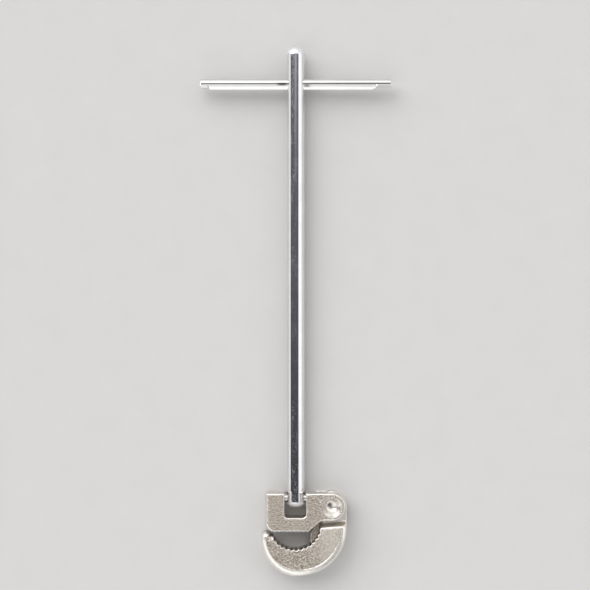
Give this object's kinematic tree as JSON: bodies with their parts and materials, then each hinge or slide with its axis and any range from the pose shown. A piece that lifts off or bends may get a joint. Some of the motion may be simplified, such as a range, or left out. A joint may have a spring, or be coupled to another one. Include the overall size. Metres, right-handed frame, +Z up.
{
  "type": "basin wrench",
  "caption": "Basin wrench with a round chromed shank, a sliding T-bar, and a swinging head whose sprung hook jaw closes on a toothed heel jaw.",
  "frame": {"origin": "centre of the tool's outline, on the surface that the back of the head lies on", "axes": "+Y along the shank from the jaws to the T-bar, +X to the right along the T-bar, +Z up out of the front face of the head, with the tool lying flat"},
  "size_m": [0.1016, 0.28, 0.0145],
  "materials": {
    "shank_chrome": "bright chrome plate on a drawn steel rod, with fine drawing lines",
    "bar_chrome": "bright chrome plate, a little duller than the shank",
    "cast_jaw": "shot-blasted and nickel plated casting, warm grey, with edges rubbed bright",
    "pin_steel": "plain turned steel pin",
    "rivet_steel": "plated steel rivet with pressed ends",
    "spring_steel": "oiled spring wire"
  },
  "bodies": {
    "shank": {"shank": "shank_chrome"},
    "t_bar": {"t_bar": "bar_chrome"},
    "head": {"heel_jaw": "cast_jaw", "head_pin": "pin_steel", "jaw_rivet": "rivet_steel", "jaw_spring": "spring_steel"},
    "hook": {"hook_jaw": "cast_jaw"}
  },
  "joints": [
    {"name": "tbar_slide", "type": "slide", "parent": "shank", "child": "t_bar", "axis": [1, 0, 0], "range_m": [-0.0365, 0.0418]},
    {"name": "head_swing", "type": "hinge", "parent": "shank", "child": "head", "pos_m": [0, -0.099, 0.00725], "axis": [1, 0, 0], "range_deg": [-115, 115]},
    {"name": "hook_pivot", "type": "hinge", "parent": "head", "child": "hook", "pos_m": [0.019, -0.103, 0.00725], "axis": [0, 0, 1], "range_deg": [0, 75], "stiffness_Nm_per_rad": 0.08, "springref_deg": -45.84, "deforming": ["jaw_spring"]}
  ]
}
